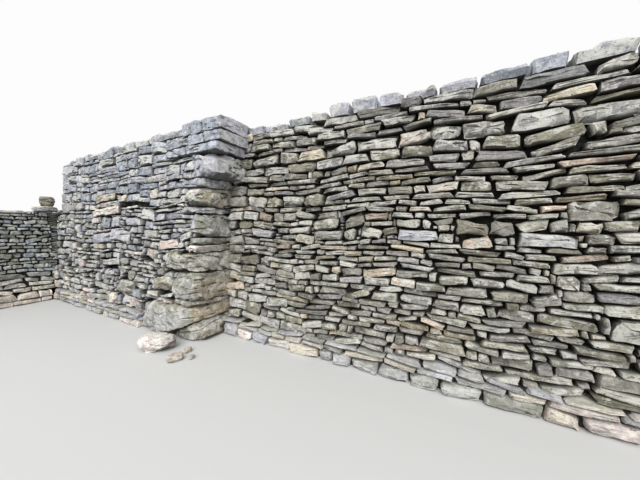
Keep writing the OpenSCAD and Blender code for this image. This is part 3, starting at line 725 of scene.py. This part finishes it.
# Pier at the end of the tall wall: boulders, blocks and slabs piled one on another, each a single
# stone, broken flat on some sides and worn round on others, with dark hollows under the overhanging ones.
boulder_stone = limestone("boulder_stone", mottling=1.0, lichen=0.85, stain=0.4, moss=0.75, relief=0.03)
CRACK_WIDTH, CRACK_DEPTH = 0.014, 0.045


def worn_copy(node, name, slot, material, tones, seed, rough=0.022, breaks=12, bed_wear=0.02, flush=0.0,
              cracks=(), voxel=0.018):
    """A copy of a frame stone with a fine skin, broken flat here and there and worn rough all over, with
    painted shade in its dips and cracks.
    The tones are light, front hue, side hue (partly painted shade on right-facing sides), top hue and
    growth; cracks are places along X, and flush is how far its front and right side are brought out level
    with the rest of the wall."""
    piece = bpy.data.objects.new(name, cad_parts[node].data.copy())
    piece.data.name = name
    bpy.context.scene.collection.objects.link(piece)
    bpy.context.view_layer.objects.active = piece
    piece.select_set(True)
    bpy.ops.object.mode_set(mode="EDIT")
    bpy.ops.mesh.select_all(action="SELECT")
    bpy.ops.mesh.remove_doubles(threshold=0.0005)
    bpy.ops.object.mode_set(mode="OBJECT")
    remesh = piece.modifiers.new("fine skin", "REMESH")
    remesh.mode = "VOXEL"
    remesh.voxel_size = voxel
    bpy.ops.object.modifier_apply(modifier="fine skin")
    piece.select_set(False)
    mesh = piece.data
    count = len(mesh.vertices)
    points = vectors_of(mesh.vertices)
    low, high = points.min(axis=0), points.max(axis=0)
    chance = np.random.default_rng(seed)
    noise.seed_set(seed)
    middle, half = (low + high) / 2, (high - low) / 2
    for _ in range(breaks):
        way = chance.normal(0, 1, 3) * np.array([1, 0.9, 0.9])
        way[1] = -abs(way[1])
        way /= np.linalg.norm(way)
        along = (points - middle) @ way
        over = along - along.max() + chance.uniform(0.06, 0.5) * min(half[0], half[2], 0.2)
        points -= np.outer(np.maximum(over, 0) * 0.92, way)
    normals = vectors_of(mesh.vertex_normals, "vector")
    for axis, face, way in ((1, low[1], -1), (0, high[0], 1)):
        points[:, axis] += flush * np.clip(3 * way * normals[:, axis], 0, 1) * np.clip(
            face - points[:, axis], -0.06, 0.06)
    away = Vector(chance.uniform(-50, 50, 3))
    depth = np.empty(count)
    for index, spot in enumerate(points):
        p = Vector(spot) + away
        swell = noise.noise(p * 2.6)
        facet = noise.cell(p * 6 + noise.noise_vector(p * 3) * 1.2)
        crag = noise.hetero_terrain(p * 7, 0.9, 2.1, 5, 0.6)
        split = abs(noise.noise(Vector((p.x * 2.2, p.y * 2.2, p.z * 9))))
        depth[index] = 1.1 * swell + 0.35 * facet + 0.55 * crag - 1.3 * max(0.0, 0.09 - split) / 0.09
    depth = (depth - np.percentile(depth, 65)) * rough * (1 + 0.6 * np.minimum(normals[:, 0], 0))
    bedded = np.minimum(points[:, 2] - low[2], high[2] - points[:, 2]) / max(0.05, 0.4 * half[2])
    depth -= bed_wear * np.clip(1 - bedded, 0, 1) ** 1.5 * (1 - np.abs(normals[:, 2]))
    crack = np.zeros(count)
    for x in cracks:
        crack += np.exp(-((points[:, 0] - x + 0.15 * (points[:, 2] - middle[2])) / CRACK_WIDTH) ** 2)
    depth -= CRACK_DEPTH * crack
    worn = np.clip(points + normals * depth[:, None], low, high)
    mesh.vertices.foreach_set("co", worn.ravel())
    mesh.update()
    light, front_hue, side_hue_with_shade, top_hue, growth = tones
    # Right-facing sides take the side hue, partly their own browner colour and partly painted shade
    sideways = np.clip(normals[:, 0] * 1.6 - 0.3, 0, 1)
    upward = np.clip(normals[:, 2] * 1.8 - 0.5, 0, 1)
    hue = front_hue * (1 - sideways) + side_hue_with_shade * sideways
    hue = hue * (1 - upward) + top_hue * upward
    # Painted shade: points sunk below the worn surface, and the cracks, are given less openness and so a
    # darker colour
    openness_with_painted_shade = np.clip(1 + 1.2 * depth / rough / 2.2, 0.55, 1) if breaks else np.ones(count)
    openness_with_painted_shade *= 1 - 0.8 * np.minimum(crack, 1)
    shade = np.stack([np.full(count, light), hue, np.full(count, growth), openness_with_painted_shade], 1)
    colours = mesh.color_attributes.new("stone", "FLOAT_COLOR", "POINT")
    colours.data.foreach_set("color", shade.ravel())
    finish_piece(piece, [node], material)


# Per pier stone: light, front hue, side hue (partly painted shade), top hue and growth
BOULDER_TONES = {
    "base_boulder": (0.80, 0.50, 0.70, 0.66, 0.3), "base_slab": (0.56, 0.58, 0.68, 0.62, 0.6),
    "wedge_stone": (0.54, 0.57, 0.68, 0.60, 0.4), "side_boulder": (0.76, 0.64, 0.67, 0.96, 0.5),
    "large_block": (0.75, 0.50, 0.68, 0.62, 0.5), "long_boulder": (0.76, 0.60, 0.63, 0.82, 0.8),
    "lower_slab": (0.90, 0.97, 0.62, 0.98, 0.3), "upper_slab": (0.58, 0.54, 0.60, 0.56, 0.4),
    "round_boulder": (0.72, 0.42, 0.56, 0.46, 0.4), "flat_slab": (0.60, 0.38, 0.50, 0.42, 0.3),
    "ridged_boulder": (0.70, 0.60, 0.64, 0.98, 0.5), "square_block": (0.84, 0.24, 0.44, 0.32, 0.3),
    "overhanging_boulder": (0.84, 0.28, 0.46, 0.32, 0.3), "ledge_slab": (0.86, 0.22, 0.38, 0.30, 0.3),
    "upper_block": (0.80, 0.22, 0.42, 0.30, 0.3), "top_block": (0.74, 0.20, 0.38, 0.30, 0.3)}
# Blocks that fit closely: how rough, how many flat breaks, how worn at the beds, how flush, where cracked
CLOSE_BLOCKS = {"base_boulder": (0.015, 2, 0.010), "square_block": (0.014, 5, 0.010, 0.6),
                "large_block": (0.018, 6, 0.016, 0.3), "upper_slab": (0.016, 4, 0.010, 0.5),
                "lower_slab": (0.016, 4, 0.010, 0.4), "ledge_slab": (0.013, 0, 0.006, 0.7, (4.12,)),
                "upper_block": (0.011, 0, 0.003, 0.9, (4.45,)), "top_block": (0.011, 0, 0.003, 0.9, (4.39,))}
for number, (name, tones) in enumerate(BOULDER_TONES.items()):
    worn_copy(f"pier_{name}", f"pier_{name}_rock", "boulder_stone", boulder_stone, tones, 60 + number,
              *CLOSE_BLOCKS.get(name, ()))

# Recessed run, front: the same rubble carried on behind the pier, built plainly, with flat beds
# in its lower part and somewhat larger blocks above, and no stone that stands out.
recessed_stone = limestone("recessed_face_stone", mottling=0.9, lichen=0.7, stain=0.5, moss=0.3,
                           tint=(0.91, 0.87, 0.77))


def recessed_tone(height, chance):
    """Warm greys, with more of the bluer ones higher up."""
    high = min(max(height - 1.6, 0), 1)
    hue = (chance.uniform(0.24, 0.44) if chance.random() < 0.1 + 0.4 * high
           else chance.choice([0.44, 0.50, 0.57, 0.80, 0.90], p=[0.36, 0.34, 0.18, 0.06, 0.06]))
    return np.array([np.clip(chance.normal(0.36, 0.17), 0.05, 0.95),
                     np.clip(hue + chance.normal(0, 0.02), 0, 1), chance.uniform(0, 1)])


def recessed_sizes(_, height, chance):
    """Larger blocks at the foot and towards the top, and a chip here and there."""
    if chance.random() < 0.18:
        return 0.06, 0.16, 0.05, 0.10
    if height < 0.5:
        return 0.16, 0.44, 0.09, 0.19
    return (0.13, 0.38, 0.08, 0.17) if height < 1.7 else (0.18, 0.48, 0.10, 0.21)


chance = np.random.default_rng(51)
recessed_front = new_heap()
for cell in moved(lay_stones(WALL_END - RECESS_X, FOOTING_TOP, BODY_TOP, recessed_sizes, chance,
                             moved(RECESSED_THROUGHS + RECESSED_TEETH, -RECESS_X)), RECESS_X):
    add_stone(recessed_front, RECESSED_FRONT, cell, chance, recessed_tone(cell[2], chance),
              joint=0.005 * chance.uniform(0.4, 1.4), worn=1.15,
              proud=np.clip(chance.normal(0, 0.016), -0.03, 0.03))
add_core(recessed_front, RECESSED_FRONT, RECESS_X, WALL_END - END_COVER, FOOTING_TOP, BODY_TOP, far=0.2)
heap_piece(recessed_front, "recessed_front_stones", ["recessed_front_face"], recessed_stone)

# Free ends: squared quoins laid long and short in turn, so that they tie into both faces.
# The recessed run and the low wall end in them, and so does the tall wall above the low one.


def quoin_end(node, origin, right, edges, courses, material, tone_at, seed):
    """A stack of quoins: the wall's thickness at each course, split into two or three blocks."""
    chance = np.random.default_rng(seed)
    heap = new_heap()
    face = face_frame(origin, right, (0, 0, 1))
    for number, (length, low, high) in enumerate(courses):
        start, end = edges(BATTER * (low + high) / 2)
        blocks = 3 if end - start > 0.8 else 2
        cuts = np.linspace(start, end, blocks + 1)
        cuts[1:-1] += chance.uniform(-0.09, 0.09, blocks - 1) + (0.05 if number % 2 else -0.05)
        for cell in zip(cuts[:-1], cuts[1:], [low] * blocks, [high] * blocks):
            add_stone(heap, face, cell, chance, tone_at(low, chance), proud=chance.uniform(-0.012, 0.0),
                      reach=length - 0.02, worn=0.5, settle=0.3, open_sides=1.0)
    heap_piece(heap, f"{node}_stones", [node], material)


quoin_end("tall_left_end", (0, 0, 0), (0, -1, 0), lambda lean: (lean - WALL_BACK, -lean),
          LEFT_QUOINS, face_stone, tall_tone, 71)
quoin_end("recessed_end", (WALL_END, 0, 0), (0, 1, 0), lambda lean: (RECESS + lean, WALL_BACK - lean),
          END_QUOINS, face_stone, recessed_tone, 72)

# Low wall: thinner and darker than the tall one, of small rough stones over a pale foot, mossy and
# stained. It turns the corner under the tall wall's free end and is bonded into it there.
LOW_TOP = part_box("low_end")[1][2]
mossy_face_stone = limestone("mossy_face_stone", mottling=1.1, lichen=0.7, stain=0.5, moss=0.7,
                             tint=(0.94, 1.0, 0.98))
LOW_QUOINS = quoin_courses(FOOTING_TOP, LOW_TOP, LEFT_RISE, 0.42, 0.25)
LOW_TEETH = [(0.0, length, low, high) for length, low, high in LOW_QUOINS]


def low_tone(height, chance):
    """Pale and pinkish at the foot, dark and greenish in the middle, mossy under the top."""
    if height < 0.45:
        hue, light = chance.choice([0.86, 0.90, 0.93]), chance.uniform(0.9, 1.4)
    else:
        hue, light = chance.choice([0.58, 0.50, 0.46, 0.30, 0.20]), chance.normal(0.66, 0.21)
    return np.array([np.clip(light, 0.04, 1.4), hue + chance.normal(0, 0.02), chance.uniform(0.2, 1)])


def low_sizes(_, height, chance):
    """Small rubble over larger stones at the foot."""
    return (0.06, 0.22, 0.06, 0.14) if height > 0.55 else (0.16, 0.40, 0.08, 0.16)


chance = np.random.default_rng(81)
INNER = face_frame((0, LOW_END, 0), (0, 1, 0), (-BATTER, 0, 1))
OUTER = face_frame((LOW_BACK, WALL_BACK, 0), (0, -1, 0), (BATTER, 0, 1))
low_inner, low_outer = new_heap(), new_heap()
RAISED = 0.30  # beside the tall wall, both faces go on up to the corner's top over this length
RAISED_CORE = 0.28  # and the packing, painted dark as joint shade, over a little less
UNDER_SHELF = CORNER_TOP - 0.06
LOW_CORE = (0.08, 0.2)  # how far behind the faces the packing, painted dark as joint shade, starts and ends

# The inner face's last stones run on behind the tall wall's leaning front
length = -LOW_END + 0.02
for cell in lay_stones(length, FOOTING_TOP, CORNER_TOP, low_sizes, chance,
                       LOW_TEETH + [(0, length - RAISED, LOW_TOP, CORNER_TOP)]):
    if cell[1] > length - 0.015:
        cell = (cell[0], -LOW_END + BATTER * cell[2] + CORNER_LAP, cell[2], cell[3])
    add_stone(low_inner, INNER, cell, chance, low_tone(cell[2], chance), joint=0.003, worn=1.35,
              proud=np.clip(chance.normal(0, 0.020), -0.035, 0.035), open_sides=0.3)
add_core(low_inner, INNER, 0.03, length + 0.1, FOOTING_TOP, LOW_TOP, near=0.06, far=0.2)
add_core(low_inner, INNER, length - RAISED_CORE, length + 0.1, LOW_TOP, UNDER_SHELF, *LOW_CORE)
length = WALL_BACK - LOW_END
kept_free = from_far_end(LOW_TEETH, length) + [(WALL_BACK + RAISED, length, LOW_TOP, CORNER_TOP)]
kept_free += [(0, BATTER * (low + high) / 2 + along_y, low, high)
              for _, _, along_y, low, high in CORNER_QUOINS]
for cell in lay_stones(length, FOOTING_TOP, CORNER_TOP, low_sizes, chance, kept_free):
    heap = corner if (cell[0] + cell[1]) / 2 < WALL_BACK - 0.05 else low_outer
    add_stone(heap, OUTER, cell, chance, low_tone(cell[2], chance), joint=0.008,
              proud=np.clip(chance.normal(0, 0.013), -0.03, 0.025))
add_core(low_outer, OUTER, WALL_BACK - 0.1, length - 0.03, FOOTING_TOP, LOW_TOP, *LOW_CORE)
add_core(low_outer, OUTER, WALL_BACK - 0.1, WALL_BACK + RAISED_CORE, LOW_TOP, UNDER_SHELF, *LOW_CORE)
add_core(corner, OUTER, 0.30, WALL_BACK - 0.25, FOOTING_TOP, UNDER_SHELF, near=0.12, far=0.60)

# Flat stones cover the corner's top behind the overhanging slab
SHELF = face_frame((0, 0, 0), (1, 0, 0), (0, 1, 0))
SHELF_LEFT = -0.61
SHELF_SIZES = (0.16, 0.34, 0.12, 0.24)
for heap, width, start, end in ((corner, 0.60, 0.14, 1.16), (corner, 0.46, 0.0, 0.14),
                                (low_outer, 0.46, -RAISED_CORE, 0.0)):
    for cell in moved(lay_stones(width, start, end, lambda *_: SHELF_SIZES, chance), SHELF_LEFT):
        add_stone(heap, SHELF, cell, chance, low_tone(1, chance), joint=0.008, reach=0.12, settle=0.0,
                  proud=CORNER_TOP - 0.012 - chance.uniform(0, 0.01))
heap_piece(low_inner, "low_inner_stones", ["low_inner_face"], mossy_face_stone)
heap_piece(low_outer, "low_outer_stones", ["low_outer_face"], mossy_face_stone)
heap_piece(corner, "low_corner_stones", ["low_corner"], mossy_face_stone)
quoin_end("low_end", (0, LOW_END, 0), (1, 0, 0), lambda lean: (LOW_BACK + lean, -lean),
          LOW_QUOINS, mossy_face_stone, low_tone, 73)

# Top courses of the tall and recessed runs: rough blocks laid side by side across the whole
# thickness to hold the skins together, with a ragged crown because each is as high as it came.


def crown_of(node):
    """The crown of a top course along X, from the frame."""
    places = vectors_of(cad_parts[node].data.vertices)
    places = places[places[:, 2] > BODY_TOP + 0.04]
    along = np.unique(places[:, 0].round(3))
    return along, np.array([places[abs(places[:, 0] - x) < 0.002, 2].max() for x in along])


TOP_SIZES = (0.16, 0.44, 0.20, 0.36)
TOP_GAP = 0.005
top_front = BATTER * BODY_TOP + TOP_GAP
top_back = WALL_BACK - BATTER * BODY_TOP - TOP_GAP
pier_left, pier_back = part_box("pier_top_block")[0][0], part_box("pier_top_block")[1][1]


def top_course(name, node, strips, seed):
    """The blocks of a top course. A strip is where it starts and ends, and where its front is."""
    chance = np.random.default_rng(seed)
    heap = new_heap()
    along, crowns = crown_of(node)
    for start, end, near in strips:
        for left, right, bed, back in lay_stones(end - start, near, top_back, lambda *_: TOP_SIZES, chance):
            top = np.interp(start + (left + right) / 2, along, crowns) - chance.uniform(0.004, 0.022)
            add_stone(heap, SHELF, (start + left, start + right, bed, back), chance,
                      tall_tone(BODY_TOP, chance), proud=top, reach=top - BODY_TOP - 0.002,
                      settle=0.0, worn=0.7, open_sides=1.0)
    heap_piece(heap, name, [node], face_stone)


top_course("tall_cover_stones", "tall_cover_course",
           [(0.0, pier_left, top_front), (pier_left, RECESS_X, pier_back + TOP_GAP)], 91)
top_course("recessed_cover_stones", "recessed_cover_course", [(RECESS_X, WALL_END, RECESS + top_front)], 92)

# Cap slabs of the low wall: flat stones laid side by side, a little proud of both faces, with one
# thick slab hanging out over the inner face close to the tall wall and a loose mossy stone on it.
cap_slab_stone = limestone("cap_slab_stone", mottling=0.8, lichen=0.6, stain=0.45, moss=0.8, relief=0.02)
worn_copy("low_cap_slabs", "low_cap_slab_stones", "cap_slab_stone", cap_slab_stone,
          (0.60, 0.40, 0.46, 0.54, 0.7), voxel=0.016, rough=0.008, breaks=0, bed_wear=0.0, seed=95)
worn_copy("low_overhang_slab", "low_overhang_slab_stone", "cap_slab_stone", cap_slab_stone,
          (0.78, 0.36, 0.36, 0.92, 0.4), voxel=0.012, rough=0.010, breaks=3, bed_wear=0.01, seed=96)
mossy_cap_stone = limestone("mossy_cap_stone", mottling=0.9, lichen=0.3, stain=0.6, moss=1.0, relief=0.02,
                            tint=(0.74, 0.66, 0.48))
worn_copy("low_loose_cap_stone", "low_loose_cap_rock", "cap_slab_stone", mossy_cap_stone,
          (0.22, 0.54, 0.54, 0.60, 1.0), voxel=0.012, rough=0.014, breaks=8, seed=97)

# Stones that have dropped from the pier: one pale boulder and three small ones on the ground.
# They are the same limestone, cleaner and whiter where they broke.
worn_copy("loose_boulder", "loose_boulder_rock", "boulder_stone", boulder_stone,
          (0.72, 0.96, 0.92, 0.98, 0.2), voxel=0.012, rough=0.014, breaks=10, seed=98)
worn_copy("loose_small_stones", "loose_small_rocks", "boulder_stone", boulder_stone,
          (0.60, 0.80, 0.80, 0.90, 0.3), voxel=0.008, rough=0.006, breaks=0, bed_wear=0.0, seed=99)

# Hearting: small broken stone packed between the two skins. It stays as the frame has it,
# out of sight behind the face stones and under the top courses.
hearting_rubble = bpy.data.materials.new("hearting_rubble")
hearting_rubble.use_nodes = True
tree = hearting_rubble.node_tree
place = add_node(tree, "ShaderNodeTexCoord").outputs["Object"]
chips = add_node(tree, "ShaderNodeTexVoronoi", {"Vector": place, "Scale": 14.0})
shade = add_node(tree, "ShaderNodeSeparateColor", {"Color": chips.outputs["Color"]}).outputs["Red"]
tint = blended(tree, shade, colour(92, 92, 88), colour(168, 166, 158))
edge = between(tree, chips.outputs["Distance"], 0.25, 0.75)
tint = blended(tree, edge, tint, colour(40, 39, 36))
bump = add_node(tree, "ShaderNodeBump", {"Height": chips.outputs["Distance"], "Distance": 0.03}, invert=True)
fill_sockets(tree, tree.nodes["Principled BSDF"],
             {"Base Color": tint, "Normal": bump.outputs["Normal"], "Roughness": 0.9})
for node in ("tall_hearting_lower", "tall_hearting_upper", "recessed_hearting", "low_hearting"):
    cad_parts[node].data.materials.clear()
    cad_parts[node].data.materials.append(hearting_rubble)

# Floor and light: a plain pale floor, an even pale sky, and one broad soft lamp high on the
# left in front of the wall, which keeps the joints and the hollows dark.
bpy.ops.mesh.primitive_plane_add(size=60, location=(4, -1, 0))
floor = bpy.context.object
floor.name = "floor"
floor_finish = bpy.data.materials.new("floor")
floor_finish.use_nodes = True
tree = floor_finish.node_tree
seen = add_node(tree, "ShaderNodeLightPath").outputs["Is Camera Ray"]
fill_sockets(tree, tree.nodes["Principled BSDF"], {
    "Base Color": blended(tree, seen, (0.34, 0.34, 0.33, 1), (0.60, 0.60, 0.59, 1)), "Roughness": 0.9})
floor.data.materials.append(floor_finish)

SKY_LEVEL = 0.83  # the sky's light on the wall
SEEN_EXTRA = 0.15  # what the camera and reflections see beyond it
world = bpy.data.worlds.new("sky")
bpy.context.scene.world = world
world.use_nodes = True
tree = world.node_tree
paths = add_node(tree, "ShaderNodeLightPath").outputs
seen = worked_out(tree, "MAXIMUM", paths["Is Camera Ray"], paths["Is Glossy Ray"])
seen = worked_out(tree, "MAXIMUM", seen, paths["Is Transmission Ray"])
fill_sockets(tree, tree.nodes["Background"], {
    "Strength": worked_out(tree, "MULTIPLY_ADD", seen, SEEN_EXTRA, SKY_LEVEL), "Color": (1, 1, 1, 1)})
bpy.ops.object.light_add(type="SUN", rotation=(math.radians(48), 0, math.radians(18)))
lamp = bpy.context.object
lamp.name = "soft_lamp"
lamp.data.energy = 2.6
lamp.data.angle = math.radians(50)
bpy.context.scene.view_settings.view_transform = "Standard"
